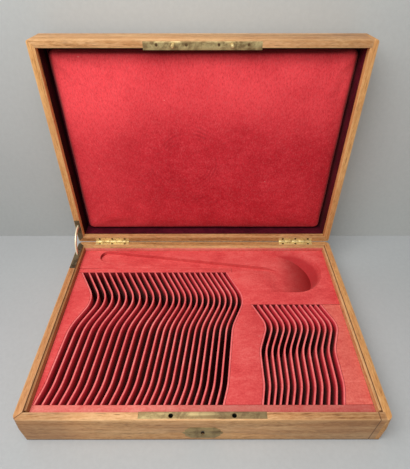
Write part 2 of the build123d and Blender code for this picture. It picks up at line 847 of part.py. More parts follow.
lid = lid_ring()
lid_leaf_spots = [s for x in hinge_places.values() for s in leaf_spots(x, lid_rim)]
lid_leaf_screws, hinge_lid_screws = place_screws(lid_leaf_spots, down=False)
stay_lid_whole, stay_lid_screws = place_screws(stay_spots(stay_lid_plate_length, lid_rim), down=False)
strike_whole, strike_screws = place_screws(strike_spots(), down=False)
stay_lid_pocket = prism(
    stay_plate_outline(stay_lid_plate_length), lid_rim, lid_rim + stay_plate_thickness
)
strike = plate(strike_width, strike_set_back, lid_rim, lid_rim + plate_thickness)
rail_cutters = {
    "front": [strike, *strike_whole],
    "back": [*lid_leaf_screws],
    "left": [stay_lid_pocket, stay_pocket(True), *stay_lid_whole],
    "right": [],
}
for x in hinge_places.values():
    rail_cutters["back"].append(leaf_pocket(x, lid_rim, lid_rim + leaf_thickness))
    rail_cutters["back"].append(hinge_relief(x))
for side, cutters in rail_cutters.items():
    parts["lid_" + side + "_rail"] = opened(cut_all(board(lid, side), cutters))
    parts["lid_lining_" + side] = opened(lining(side))

top_board = prism(footprint(lid_corner_radius), top_board_underside, lid_top)
top_board = fillet(top_board.edges().group_by(Axis.Z)[-1], top_edge_radius)
parts["lid_top_board"] = opened(top_board)
lined_x = inner_right - lining_thickness
lined_y = inner_back - lining_thickness
parts["lid_pad_board"] = opened(
    block(-lined_x, lined_x, -lined_y, lined_y, top_board_underside - pad_board_thickness, top_board_underside)
)
parts["lid_pad"] = opened(lid_pad())
parts["strike_plate"] = opened(cut_all(strike, strike_whole))
parts["strike_studs"] = [opened(stud) for stud in strike_studs()]
parts["strike_screws"] = [opened(body) for body in strike_screws]
stay_lid_plate = stay_lid_pocket - stay_slot(lid_rim - overrun, lid_top)
parts["stay_lid_plate"] = opened(cut_all(stay_lid_plate, stay_lid_whole))
parts["stay_lid_screws"] = [opened(body) for body in stay_lid_screws]
parts["hinge_lid_screws"] = [opened(body) for body in hinge_lid_screws]
for side, x in hinge_places.items():
    case_screws = [screw(*spot) for spot in leaf_spots(x, case_height)]
    lid_screws = [screw(*spot, False) for spot in leaf_spots(x, lid_rim)]
    parts["hinge_" + side + "_case_leaf"] = cut_all(hinge_leaf(x, on_lid=False), case_screws)
    parts["hinge_" + side + "_lid_leaf"] = opened(cut_all(hinge_leaf(x, on_lid=True), lid_screws))
    parts["hinge_" + side + "_pin"] = hinge_pin(x)

# Write one file for each named piece
os.makedirs("parts", exist_ok=True)
for name, shape in parts.items():
    solids = shape if isinstance(shape, list) else [shape]
    bodies = [solid for item in solids for solid in item.solids()]
    export_step(bodies[0] if len(bodies) == 1 else Compound(bodies), "parts/" + name + ".step")
    print(name, len(bodies), "solids", round(sum(body.volume for body in bodies), 1), "mm3")
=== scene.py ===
# %% [markdown]
# # An antique oak cutlery chest, open
# A shallow oak box with a padded lid, a red velvet tray of curved slots, brass hinges, a quadrant stay and a
# lock. The solids come from the CAD frame and already have every board, bar and plate in its place. This
# script gives them what a maker sees: soft edges, grain, nap, age, light and a camera.

# %% Load the frame
from math import radians, sin, cos, pi

import bpy
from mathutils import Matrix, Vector


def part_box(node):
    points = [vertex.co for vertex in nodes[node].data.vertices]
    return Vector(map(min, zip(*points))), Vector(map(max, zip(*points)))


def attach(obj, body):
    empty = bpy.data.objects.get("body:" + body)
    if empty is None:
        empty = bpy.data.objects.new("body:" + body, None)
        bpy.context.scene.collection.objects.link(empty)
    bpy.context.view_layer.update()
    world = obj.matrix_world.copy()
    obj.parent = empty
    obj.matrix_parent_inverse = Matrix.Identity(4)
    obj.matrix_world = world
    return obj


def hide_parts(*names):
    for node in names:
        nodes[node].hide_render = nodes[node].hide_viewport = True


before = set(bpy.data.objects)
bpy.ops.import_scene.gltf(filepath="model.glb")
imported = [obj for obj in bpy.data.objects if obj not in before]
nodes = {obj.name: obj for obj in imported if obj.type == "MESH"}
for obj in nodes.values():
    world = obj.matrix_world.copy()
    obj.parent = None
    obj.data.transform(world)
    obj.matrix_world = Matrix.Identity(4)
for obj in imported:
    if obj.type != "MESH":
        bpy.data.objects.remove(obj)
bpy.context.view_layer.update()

scene = bpy.context.scene
mm = 0.001

# %% [markdown]
# ## Places that the finishes need
# The lid stands open by 93 degrees about the hinge pins. A finish on the lid is easier to think of with the
# lid shut, where its boards lie square, so its pattern is turned back about the pins before it is drawn.
# Heights and edges are read from the frame's own boxes, so they follow the CAD if it changes.

# %% Places
def middle_of(node):
    """The middle of a node's box."""
    return [(low + high) / 2 for low, high in zip(*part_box(node))]


deck_bottom, deck_top = [corner[2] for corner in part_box("tray_left_deck")]
lid_axis = (0.0, *middle_of("hinge_left_pin")[1:])
lid_angle = radians(93.0)
print("deck at", round(deck_top, 4), "pins at", [round(v, 4) for v in lid_axis])

# %% [markdown]
# ## Tools for shaping a piece
# A CAD node's mesh is loose triangles, so a copy of it is merged first, and its flat triangles are joined
# into whole faces. No real edge is razor sharp. A bevel a few tenths of a millimetre wide catches the light,
# and this thin bright line is much of what makes wood, cloth and brass look real. Each piece stays in the
# place of its node.

# %% Select and copy
merge_distance = 0.005 * mm


def deselect():
    """Nothing is selected and nothing is in edit mode."""
    if bpy.context.object and bpy.context.object.mode != "OBJECT":
        bpy.ops.object.mode_set(mode="OBJECT")
    bpy.ops.object.select_all(action="DESELECT")


def pick(piece):
    """Only this piece is selected and active."""
    deselect()
    piece.select_set(True)
    bpy.context.view_layer.objects.active = piece


def copy_of(node, name, whole=True):
    """A copy of a CAD node, merged, and with whole faces instead of triangles unless told otherwise."""
    piece = bpy.data.objects.new(name, nodes[node].data.copy())
    scene.collection.objects.link(piece)
    piece.data.materials.clear()
    pick(piece)
    bpy.ops.mesh.customdata_custom_splitnormals_clear()
    bpy.ops.object.mode_set(mode="EDIT")
    bpy.ops.mesh.select_all(action="SELECT")
    bpy.ops.mesh.remove_doubles(threshold=merge_distance)
    if whole:
        bpy.ops.mesh.dissolve_limited(angle_limit=radians(0.6))
    bpy.ops.object.mode_set(mode="OBJECT")
    return piece


print("copies merge within", round(merge_distance / mm, 4), "mm")

# %% Soften the edges
def keep_selected(mesh, where):
    """Keep only those selected edges whose two ends pass the test."""
    chosen = [
        edge.index for edge in mesh.edges
        if edge.select and where(*[mesh.vertices[i].co for i in edge.vertices])
    ]
    for item in (mesh.vertices, mesh.edges, mesh.polygons):
        item.foreach_set("select", [False] * len(item))
    for index in chosen:
        mesh.edges[index].select = True
        for i in mesh.edges[index].vertices:
            mesh.vertices[i].select = True


def soften(piece, width, segments, where, sharp):
    """Round the sharp edges by a width in metres: all of them, or those that pass a test."""
    pick(piece)
    bpy.ops.object.mode_set(mode="EDIT")
    bpy.ops.mesh.select_mode(type="EDGE")
    bpy.ops.mesh.select_all(action="DESELECT")
    bpy.ops.mesh.edges_select_sharp(sharpness=radians(sharp))
    bpy.ops.object.mode_set(mode="OBJECT")
    if where is not None:
        keep_selected(piece.data, where)
    bpy.ops.object.mode_set(mode="EDIT")
    bpy.ops.mesh.bevel(offset=width, segments=segments, profile=0.5, affect="EDGES", clamp_overlap=True)
    bpy.ops.object.mode_set(mode="OBJECT")


def smooth(piece, angle=40.0):
    """Shade smoothly across all edges that turn by less than an angle."""
    pick(piece)
    bpy.ops.object.shade_smooth_by_angle(angle=radians(angle))


def worn_copy(node, name, width, segments=2, where=None, sharp=35.0, whole=True):
    """A copy of a CAD node with softened edges."""
    piece = copy_of(node, name, whole)
    soften(piece, width, segments, where, sharp)
    smooth(piece)
    return piece


print("edges can be softened")

# %% Seat a piece or dress a node
def seat(piece, body, material, node):
    """Say what a piece rides on, what it is made of and which node it stands for."""
    piece.data.materials.clear()
    piece.data.materials.append(material)
    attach(piece, body)
    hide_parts(node)
    print(piece.name, len(piece.data.polygons), "faces")


def dress(node, material):
    """Give a finish to a CAD node whose shape stays as it is."""
    nodes[node].data.materials.clear()
    nodes[node].data.materials.append(material)


# %% [markdown]
# ## Small tools for building materials
# A procedural material is a tree of nodes. A few helpers keep the trees short to read: they add a node, do
# arithmetic, make soft noise, hold a value between two ends, and blend colours. Colours are written as they
# look on a screen, from 0 to 255, and turned into the linear numbers that Blender wants.

# %% Adding nodes
def put(tree, kind, **settings):
    """Add a shader node with its settings."""
    node = tree.nodes.new("ShaderNode" + kind)
    for key, value in settings.items():
        setattr(node, key, value)
    return node


def feed(tree, value, socket):
    """Link a socket, or write a plain value."""
    if isinstance(value, bpy.types.NodeSocket):
        tree.links.new(value, socket)
    else:
        socket.default_value = value


def fill(tree, node, **values):
    """Feed a node's sockets by their names."""
    for key, value in values.items():
        feed(tree, value, node.inputs[key])


def new_group(name, inputs, outputs):
    """An empty node group, with a kind for each input and values as outputs, and its two end nodes."""
    tree = bpy.data.node_groups.new(name, "ShaderNodeTree")
    for label, kind in inputs.items():
        tree.interface.new_socket(name=label, in_out="INPUT", socket_type="NodeSocket" + kind)
    for label in outputs:
        tree.interface.new_socket(name=label, in_out="OUTPUT", socket_type="NodeSocketFloat")
    return tree, tree.nodes.new("NodeGroupInput"), tree.nodes.new("NodeGroupOutput")


def use(tree, group, **values):
    """Place a node group with its own values, and give its outputs."""
    node = put(tree, "Group", node_tree=group)
    fill(tree, node, **values)
    return node.outputs


def mask(tree, group, place, **values):
    """Place a group that has one output, its mask."""
    return use(tree, group, Place=place, **values)["Mask"]


def new_material(name):
    """A material with one Principled shader, and the object's own coordinates."""
    material = bpy.data.materials.new(name)
    material.use_nodes = True
    tree = material.node_tree
    place = put(tree, "TexCoord").outputs["Object"]
    return material, tree, tree.nodes["Principled BSDF"], place


print("node tools ready")

# %% Values and places
def calc(tree, operation, *values, clamp=False):
    """Arithmetic on values."""
    node = put(tree, "Math", operation=operation, use_clamp=clamp)
    for value, socket in zip(values, node.inputs):
        feed(tree, value, socket)
    return node.outputs[0]


def calc_place(tree, operation, *values):
    """Arithmetic on places. A length, a distance and a dot product come out as a value."""
    node = put(tree, "VectorMath", operation=operation)
    for value, socket in zip(values, node.inputs):
        feed(tree, value, socket)
    return node.outputs["Value" if operation in ("LENGTH", "DISTANCE", "DOT_PRODUCT") else "Vector"]


def weigh(tree, *parts):
    """Add values up, each times its own weight."""
    products = [calc(tree, "MULTIPLY", value, weight) for value, weight in parts]
    total = products[0]
    for product in products[1:]:
        total = calc(tree, "ADD", total, product)
    return total


def between(tree, value, low, high, out_low=0.0, out_high=1.0):
    """The value's run from low to high, turned into another run and held at its ends."""
    node = put(tree, "MapRange", interpolation_type="SMOOTHSTEP")
    for item, socket in zip((value, low, high, out_low, out_high), node.inputs):
        feed(tree, item, socket)
    return node.outputs[0]


def parts_of(tree, place):
    """The x, y and z of a place."""
    node = put(tree, "SeparateXYZ")
    feed(tree, place, node.inputs[0])
    return node.outputs


def mapped(tree, place, **settings):
    """A place that is scaled, turned or moved."""
    node = put(tree, "Mapping")
    fill(tree, node, Vector=place, **settings)
    return node.outputs[0]


def cloud(tree, place, scale, detail, roughness, seed, distortion=0.0):
    """Soft noise from 0 to 1, with one scale, or with three to squeeze it along each axis."""
    if isinstance(scale, tuple):
        place, scale = mapped(tree, place, Scale=scale), 1.0
    node = put(tree, "TexNoise", noise_dimensions="4D")
    fill(tree, node, Vector=place, Scale=scale, Detail=detail, Roughness=roughness)
    fill(tree, node, W=seed, Distortion=distortion)
    return node.outputs["Fac"]


print("value tools ready")

# %% Colours and relief
def linear(red, green, blue):
    """A screen colour from 0 to 255 as linear numbers."""
    def one(value):
        value /= 255
        return value / 12.92 if value <= 0.04045 else ((value + 0.055) / 1.055) ** 2.4
    return (one(red), one(green), one(blue), 1.0)


def blend(tree, share, first, second):
    """From the first colour to the second by a share."""
    node = put(tree, "Mix", data_type="RGBA")
    feed(tree, share, node.inputs[0])
    feed(tree, first, node.inputs[6])
    feed(tree, second, node.inputs[7])
    return node.outputs[2]


def tint(tree, base, colour, share, most=1.0):
    """Turn a base towards a screen colour by a share, which may be cut down first."""
    if most != 1.0:
        share = calc(tree, "MULTIPLY", share, most)
    return blend(tree, share, base, linear(*colour))


def steps(tree, value, *stops):
    """Colours along a value, each as its place and colour. The places go in first, as they set the order."""
    node = put(tree, "ValToRGB")
    feed(tree, value, node.inputs[0])
    ramp = node.color_ramp
    while len(ramp.elements) < len(stops):
        ramp.elements.new(0.5)
    for element, stop in zip(ramp.elements, stops):
        element.position = stop[0]
    for element, stop in zip(ramp.elements, stops):
        element.color = stop[1]
    return node.outputs[0]


def shades(tree, value, tone, places):
    """A tone's dark, middle and light colour at three places along a value."""
    keys = ("dark", "middle", "light")
    return steps(tree, value, *[(at, linear(*tone[key])) for at, key in zip(places, keys)])


def raised(tree, height, distance, strength):
    """A bump from a height, with the depth of its relief in metres."""
    node = put(tree, "Bump")
    fill(tree, node, Strength=strength, Distance=distance, Height=height)
    return node.outputs["Normal"]


print("colour tools ready")

# %% [markdown]
# ## Oak
# The boards are old oak with a honey-coloured polish. Up close oak shows streaks along the grain, short dark
# pores and, here and there, paler flecks across it. All of it runs along the board, so the pattern is
# squeezed across the grain. One node group makes the streaks, pores and flecks, a second finds the edges
# where hands have rubbed the polish, and each board places both with its own direction and seed, so that no
# two boards match.

# %% Grain of oak and rubbed edges
def build_oak_figure():
    """Streaks, pores and stains of a board whose grain runs along x."""
    outputs = ("Streak", "Pore", "Fleck", "Stain", "Warm", "Height")
    tree, start, end = new_group("oak figure", dict(Place="Vector", Seed="Float"), outputs)
    place, seed = start.outputs["Place"], start.outputs["Seed"]
    sway = cloud(tree, place, (5, 18, 18), 2.0, 0.5, seed)
    along = calc_place(tree, "MULTIPLY_ADD", sway, (0.0, 0.012, 0.012), place)
    wide = cloud(tree, along, (4, 90, 90), 3.0, 0.6, seed)
    fine = cloud(tree, along, (22, 480, 480), 3.0, 0.65, seed)
    fibre = cloud(tree, along, (130, 620, 620), 3.0, 0.6, seed, 0.6)
    streak = weigh(tree, (wide, 0.36), (fine, 0.28), (fibre, 0.36))
    pore = between(tree, cloud(tree, along, (60, 1500, 1500), 2.0, 0.5, seed), 0.58, 0.70)
    fleck = between(tree, cloud(tree, along, (60, 190, 420), 1.0, 0.4, seed), 0.62, 0.74)
    stain = between(tree, cloud(tree, place, (11, 26, 26), 4.0, 0.62, seed), 0.54, 0.76)
    warm = between(tree, cloud(tree, place, (14, 30, 30), 3.0, 0.5, seed, 0.4), 0.36, 0.64)
    height = calc(tree, "SUBTRACT", calc(tree, "MULTIPLY", fine, 0.45), pore)
    fill(tree, end, Streak=streak, Pore=pore, Fleck=fleck, Stain=stain, Warm=warm, Height=height)
    return tree


def build_edge_wear():
    """A mask that is 1 along the edges of a box and fades inwards in an uneven line.

    Of a point's three gaps to the nearest faces, the second smallest is its distance from the nearest edge.
    """
    inputs = dict(Place="Vector", Low="Vector", High="Vector", Width="Float", Seed="Float")
    tree, start, end = new_group("edge wear", inputs, ("Mask",))
    place = start.outputs["Place"]
    from_low = calc_place(tree, "SUBTRACT", place, start.outputs["Low"])
    from_high = calc_place(tree, "SUBTRACT", start.outputs["High"], place)
    x, y, z = parts_of(tree, calc_place(tree, "MINIMUM", from_low, from_high))
    total = calc(tree, "ADD", calc(tree, "ADD", x, y), z)
    small = calc(tree, "MINIMUM", calc(tree, "MINIMUM", x, y), z)
    large = calc(tree, "MAXIMUM", calc(tree, "MAXIMUM", x, y), z)
    middle = calc(tree, "SUBTRACT", calc(tree, "SUBTRACT", total, small), large)
    uneven = cloud(tree, place, 140.0, 3.0, 0.6, start.outputs["Seed"])
    reach = calc(tree, "MULTIPLY", start.outputs["Width"], calc(tree, "MULTIPLY", uneven, 2.0))
    fill(tree, end, Mask=calc(tree, "SUBTRACT", 1.0, calc(tree, "DIVIDE", middle, reach), clamp=True))
    return tree


oak_figure = build_oak_figure()
edge_wear = build_edge_wear()
print("oak groups with", len(oak_figure.nodes), "and", len(edge_wear.nodes), "nodes")

# %% [markdown]
# ## Marks that come back
# Four marks come back on several boards, plates or cloths, so each of them is a group too: a share that rises
# along x, the thin line of a joint, a painted contact shadow along the foot of the case, and a round or tall
# spot, as at a keyhole. Every material that places one gives it its own place and size.

# %% Runs, joints, foot and spots
def build_run():
    """A share that rises from 0 at a start to its most at an end in x."""
    tree, start, end = new_group(
        "run in x", dict(Place="Vector", Start="Float", End="Float", Most="Float"), ("Mask",))
    x = parts_of(tree, start.outputs["Place"])[0]
    rise = between(tree, x, start.outputs["Start"], start.outputs["End"], 0.0, start.outputs["Most"])
    fill(tree, end, Mask=rise)
    return tree


def build_joint_line():
    """A thin line seen from above, given by the direction across it and how far along that it lies."""
    tree, start, end = new_group("joint line", dict(Place="Vector", Across="Vector", At="Float"), ("Mask",))
    along = calc_place(tree, "DOT_PRODUCT", start.outputs["Place"], start.outputs["Across"])
    off = calc(tree, "ABSOLUTE", calc(tree, "SUBTRACT", along, start.outputs["At"]))
    fill(tree, end, Mask=between(tree, off, 0.9 * mm, 0.2 * mm, 0.0, 0.8))
    return tree


def build_foot_contact_shadow():
    """Painted contact shadow in the lowest few millimetres of the case."""
    tree, start, end = new_group("foot contact shadow", dict(Place="Vector"), ("Mask",))
    height = parts_of(tree, start.outputs["Place"])[2]
    fill(tree, end, Mask=between(tree, height, 3.6 * mm, 0.8 * mm, 0.0, 0.85))
    return tree


def build_spot():
    """1 within the inner radius of a point of the front and 0 beyond the outer one.

    Places are squeezed before they are compared: y by 0, so the depth doesn't count, and z for a tall spot.
    """
    inputs = dict(Place="Vector", Centre="Vector", Squeeze="Vector", Inner="Float", Outer="Float")
    tree, start, end = new_group("spot", inputs, ("Mask",))
    place = calc_place(tree, "MULTIPLY", start.outputs["Place"], start.outputs["Squeeze"])
    centre = calc_place(tree, "MULTIPLY", start.outputs["Centre"], start.outputs["Squeeze"])
    away = calc_place(tree, "DISTANCE", place, centre)
    fill(tree, end, Mask=between(tree, away, start.outputs["Outer"], start.outputs["Inner"]))
    return tree


run_in_x, joint_line, foot_contact_shadow, spot = build_run(), build_joint_line(), build_foot_contact_shadow(), build_spot()
round_spot, tall_spot = (1.0, 0.0, 1.0), (1.0, 0.0, 1.0 / 2.3)
print("shared marks:", ", ".join(group.name for group in (run_in_x, joint_line, foot_contact_shadow, spot)))

# %% [markdown]
# ## Oak for one board
# A board takes its grain from the group, and then its marks: darker stretches along x, most of them painted
# shade where the lamp's light falls off towards the right, thin dark lines where it meets its neighbours, a
# painted contact shadow along the foot of the case and painted shade in the keyhole. They are laid one over
# the other as thin tints.

# %% Oak finish
honey = dict(dark=(146, 96, 50), middle=(206, 153, 98), light=(238, 190, 136), pore=(110, 70, 40),
             stain=(136, 86, 50), worn=(232, 188, 134), warm=(196, 130, 78))
# The first brown tints the darker runs, most of them painted shade; the foot's brown is a painted contact
# shadow and the keyhole's dark a painted shade; the joints' dark lines are real.
darker_run_brown, joint_dark, foot_shadow_brown, keyhole_shade = (112, 76, 52), (84, 52, 30), (54, 38, 26), (20, 14, 10)
keyhole = middle_of("lock_key_pin")
turns = {"x": (0.0, 0.0, 0.0), "y": (0.0, 0.0, radians(-90.0))}


def shut_box(node):
    """Box of a lid node with the lid turned shut."""
    c, s = cos(lid_angle), sin(lid_angle)
    points = []
    for vertex in nodes[node].data.vertices:
        y, z = vertex.co.y - lid_axis[1], vertex.co.z - lid_axis[2]
        points.append((vertex.co.x, lid_axis[1] + c * y - s * z, lid_axis[2] + s * y + c * z))
    return [min(p[i] for p in points) for i in range(3)], [max(p[i] for p in points) for i in range(3)]


def oak(name, board, grain, seed, tone=honey, darker=(), joints=()):
    """Oak for one board, from the node that gives its box.

    Each darker run has a start and an end in x and a share. Each joint has the direction across it and
    its place.
    """
    material, tree, shader, place = new_material(name)
    in_lid = board.startswith("lid_")
    low, high = shut_box(board) if in_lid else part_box(board)
    if in_lid:
        back = put(tree, "VectorRotate", rotation_type="X_AXIS")
        fill(tree, back, Vector=place, Center=lid_axis, Angle=lid_angle)
        place = back.outputs[0]
    turned = mapped(tree, place, Rotation=turns[grain], Location=(seed * 0.37, seed * 0.11, 0.0))
    figure = use(tree, oak_figure, Place=turned, Seed=seed)
    base = shades(tree, figure["Streak"], tone, (0.38, 0.48, 0.59))
    base = tint(tree, base, tone["warm"], figure["Warm"], 0.35)
    base = tint(tree, base, tone["pore"], figure["Pore"], 0.75)
    base = tint(tree, base, tone["worn"], figure["Fleck"], 0.22)
    base = tint(tree, base, tone["stain"], figure["Stain"], 0.35)
    wear = mask(tree, edge_wear, place, Low=low, High=high, Width=2.2 * mm, Seed=seed)
    base = tint(tree, base, tone["worn"], wear, 0.45)
    # Darker runs along x; most of them are painted shade towards the right.
    for start, end, share in darker:
        base = tint(tree, base, darker_run_brown, mask(tree, run_in_x, place, Start=start, End=end, Most=share))
    for across, at in joints:
        base = tint(tree, base, joint_dark, mask(tree, joint_line, place, Across=across, At=at))
    # Painted contact shadow along the foot of the case.
    if not in_lid:
        base = tint(tree, base, foot_shadow_brown, mask(tree, foot_contact_shadow, place))
    # Painted shade in the keyhole, seen through the escutcheon.
    if board == "case_front_wall":
        hole = mask(tree, spot, place, Centre=keyhole, Squeeze=round_spot, Inner=5 * mm, Outer=6 * mm)
        base = tint(tree, base, keyhole_shade, hole)
    rough = calc(tree, "ADD", 0.44, calc(tree, "MULTIPLY", figure["Streak"], 0.18))
    rough = calc(tree, "ADD", rough, calc(tree, "MULTIPLY", wear, 0.15))
    relief = raised(tree, figure["Height"], 0.12 * mm, 0.6)
    fill(tree, shader, **{
        "Base Color": base, "Roughness": rough, "Normal": relief, "Specular IOR Level": 0.35,
    })
    return material


print("keyhole at", [round(v, 4) for v in keyhole])

# %% [markdown]
# ## The boards of case and lid
# Four walls make the case, and four rails and a panel the lid. The front right corner of the case is lapped,
# so its joint shows as a line a little in from the end, and the front left corner is mitred, so it shows as a
# slanting one. The polish isn't even: the side walls are redder. The boards at the back take a darker tone,
# painted shade of the lid, and the front wall and the lid's front rail darken towards the right, painted
# shade where the lamp's light falls off.

# %% Boards
amber = dict(honey, dark=(150, 96, 44), middle=(206, 147, 84), light=(230, 176, 112), worn=(226, 178, 122))
orange = dict(honey, dark=(134, 84, 42), middle=(188, 130, 78), light=(216, 160, 106))
shaded = dict(honey, dark=(124, 80, 38), middle=(176, 126, 76), light=(214, 166, 108))
# Runs of darker tone in x: the first and the third are painted shade where the lamp's light falls off towards
# the right, the second darkens the front's left end.
right_falloff_shade = (0.03, 0.19, 0.36)
left_end_darker = (-0.14, -0.18, 0.3)
lid_right_falloff_shade = (-0.02, 0.16, 0.12)
boards = (
    ("case_front_wall", "x", honey, (right_falloff_shade, left_end_darker)), ("case_back_wall", "x", shaded, ()),
    ("case_left_wall", "y", orange, ()), ("case_right_wall", "y", amber, ()),
    ("lid_front_rail", "x", honey, (lid_right_falloff_shade,)), ("lid_back_rail", "x", shaded, ()),
    ("lid_left_rail", "y", amber, ()), ("lid_right_rail", "y", amber, ()), ("lid_top_board", "x", honey, ()),
)
front_low, front_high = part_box("case_front_wall")
left_outside, left_inside = [corner[0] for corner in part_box("case_left_wall")]
right_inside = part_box("case_right_wall")[0][0]
lap_depth = 7.5 * mm
sideways = (1, 0, 0)
slant = 0.5 ** 0.5
mitre = ((slant, -slant, 0), slant * (left_outside - front_low[1]))
joints = dict(
    case_front_wall=((sideways, front_high[0] - lap_depth), mitre),
    case_left_wall=((sideways, left_inside), mitre),
    case_right_wall=((sideways, right_inside),),
)
for number, (node, grain, tone, darker) in enumerate(boards):
    piece = worn_copy(node, node.replace("case_", "oak_").replace("lid_", "oak_lid_"), 0.45 * mm)
    wood = oak(piece.name, node, grain, 3.1 + number * 1.7, tone, darker, joints.get(node, ()))
    seat(piece, node.split("_")[0], wood, node)

# %% [markdown]
# ## The thin liner of the case
# Inside each wall stands a strip about 3 mm thick that stops just below the rim. It is the same oak; the
# strips at the front and on the left take a browner tone, painted shade of the walls above them. Its arris is
# softened less than the wall's. The bottom board is hardly ever seen, so it keeps its CAD shape and gets the
# plain oak.

# %% Liner strips and bottom
liner_shade_oak = dict(honey, dark=(96, 64, 34), middle=(140, 92, 52), light=(172, 120, 74), worn=(168, 118, 74))
# The browner tone of the front and left strips is painted shade.
liners = (("front", "x", liner_shade_oak), ("back", "x", honey), ("left", "y", liner_shade_oak), ("right", "y", honey))
for number, (side, grain, tone) in enumerate(liners):
    node = "case_liner_" + side
    piece = worn_copy(node, "liner_" + side, 0.35 * mm)
    seat(piece, "case", oak(piece.name, node, grain, 21.3 + number * 2.3, tone), node)
dress("case_bottom_board", oak("bottom_board", "case_bottom_board", "x", 40.7))

# %% [markdown]
# ## Velvet
# The tray is covered with red cotton velvet. Its pile leans one way or another where fingers brushed it, and
# this shows as paler and darker clouds with streaks. Seen at a slant the fibre tips catch the light, which a
# shader calls sheen. One group gives the clouds, the fine pile and a few pale flecks of lint, and a second
# tells how far down a slot a point lies, because hardly any light comes back out of a slot so deep and
# narrow.

# %% Nap of velvet and depth of slots
slot_dark = 24 * mm


def build_velvet_nap():
    """Clouds and streaks of a brushed pile, its fine fibres, and specks of lint in a few cells."""
    tree, start, end = new_group(
        "velvet nap", dict(Place="Vector", Seed="Float"), ("Nap", "Pile", "Lint", "Height"))
    place, seed = start.outputs["Place"], start.outputs["Seed"]
    broad = cloud(tree, place, 17.0, 3.0, 0.55, seed, 0.5)
    brushed = cloud(tree, place, (70, 190, 120), 3.0, 0.6, seed, 0.9)
    mottled = cloud(tree, place, 420.0, 3.0, 0.65, seed)
    pile = cloud(tree, place, 1500.0, 2.0, 0.7, seed)
    specks = put(tree, "TexVoronoi", feature="F1")
    fill(tree, specks, Vector=place, Scale=38.0)
    near = calc(tree, "LESS_THAN", specks.outputs["Distance"], 0.022)
    chance = put(tree, "SeparateColor")
    feed(tree, specks.outputs["Color"], chance.inputs[0])
    lint = calc(tree, "MULTIPLY", near, calc(tree, "GREATER_THAN", chance.outputs[0], 0.72))
    nap = weigh(tree, (broad, 0.38), (brushed, 0.30), (mottled, 0.32))
    fill(tree, end, Nap=nap, Pile=pile, Lint=lint, Height=weigh(tree, (pile, 0.7), (mottled, 0.5)))
    return tree


def build_slot_depth():
    """How far down a slot a point lies: 0 at the decks, 1 where it is dark, and 0 behind a line in y."""
    tree, start, end = new_group("slot depth", dict(Place="Vector", Behind="Float"), ("Depth",))
    x, y, z = parts_of(tree, start.outputs["Place"])
    depth = calc(tree, "DIVIDE", calc(tree, "SUBTRACT", deck_top, z), slot_dark, clamp=True)
    in_slots = calc(tree, "LESS_THAN", y, start.outputs["Behind"])
    fill(tree, end, Depth=calc(tree, "MULTIPLY", depth, in_slots))
    return tree


velvet_nap = build_velvet_nap()
slot_depth = build_slot_depth()
print("velvet groups with", len(velvet_nap.nodes), "and", len(slot_depth.nodes), "nodes")

# %% [markdown]
# ## Age and painted light of the pad
# The pad is painted lighter along its top and left side, where the lamp falls on it most, a brush has left
# faint arcs in it, and its pile shows a coarse weave. Where it curves down at its two ends it takes painted
# shade. Only the pad has these marks, so plain helpers add them to its own material.

# %% Age and painted light of the pad
arc_spacing = 5.6 * mm
arc_centre = (-0.022, 0.196)
painted_light_red, weave_red, brushed_red, side_shade_red = (255, 82, 88), (150, 18, 30), (146, 20, 32), (100, 18, 22)
pile_tip, pile_root = (246, 150, 148), (128, 0, 10)
side_reach = 9 * mm


def pad_painted_light(tree, place, seed):
    """How much painted light the pad takes: most along its top and left side, nearest the lamp."""
    x, y, z = parts_of(tree, place)
    up = between(tree, z, 0.20, 0.34)
    left = between(tree, x, -0.03, -0.19)
    clouds = between(tree, cloud(tree, place, 14.0, 3.0, 0.6, seed + 3.0), 0.3, 0.7, 0.65, 1.25)
    return calc(tree, "MULTIPLY", weigh(tree, (up, 0.85), (left, 0.36)), clouds, clamp=True)


def brushed_arcs(tree, place):
    """Arcs left in the pad's pile by a brush turned about one point, broken by clouds."""
    centred = mapped(tree, place, Scale=(1.0, 0.0, 1.0), Location=(-arc_centre[0], 0.0, -arc_centre[1]))
    rings = put(tree, "TexWave", wave_type="RINGS", rings_direction="SPHERICAL")
    fill(tree, rings, Vector=centred, Scale=2 * pi / (20 * arc_spacing), Distortion=6.0, Detail=3.0)
    fill(tree, rings, **{"Detail Scale": 0.45})
    away = calc_place(tree, "LENGTH", centred)
    outwards, inwards = between(tree, away, 20 * mm, 38 * mm), between(tree, away, 76 * mm, 58 * mm)
    swept = calc(tree, "MULTIPLY", outwards, inwards)
    broken = between(tree, cloud(tree, place, 24.0, 3.0, 0.6, 2.1), 0.47, 0.62)
    return calc(tree, "MULTIPLY", rings.outputs["Fac"], calc(tree, "MULTIPLY", swept, broken))


def towards_sides(tree, place, sides):
    """1 at the left and right side of the pad and 0 from a reach inwards."""
    x = parts_of(tree, place)[0]
    inward = calc(tree, "MINIMUM", calc(tree, "SUBTRACT", x, sides[0]), calc(tree, "SUBTRACT", sides[1], x))
    return between(tree, inward, 0.0, side_reach, 1.0, 0.0)


def age_and_light_of_pad(tree, place, seed, base, sides):
    """Paint light onto the pad, show its weave and its fibres' tips and roots, and add the arcs and painted
    shade.
    """
    # Painted light along the pad's top and left side.
    base = tint(tree, base, painted_light_red, pad_painted_light(tree, place, seed))
    weave = cloud(tree, place, (900, 300, 260), 2.0, 0.6, seed)
    base = tint(tree, base, weave_red, between(tree, weave, 0.40, 0.66, 0.0, 0.2))
    tips = cloud(tree, place, (620, 500, 420), 3.0, 0.7, seed + 1.0)
    base = tint(tree, base, pile_tip, between(tree, tips, 0.46, 0.68, 0.0, 0.13))
    base = tint(tree, base, pile_root, between(tree, tips, 0.46, 0.30, 0.0, 0.3))
    base = tint(tree, base, brushed_red, brushed_arcs(tree, place), 0.42)
    # Painted shade where the pad curves down at its sides.
    return tint(tree, base, side_shade_red, towards_sides(tree, place, sides))


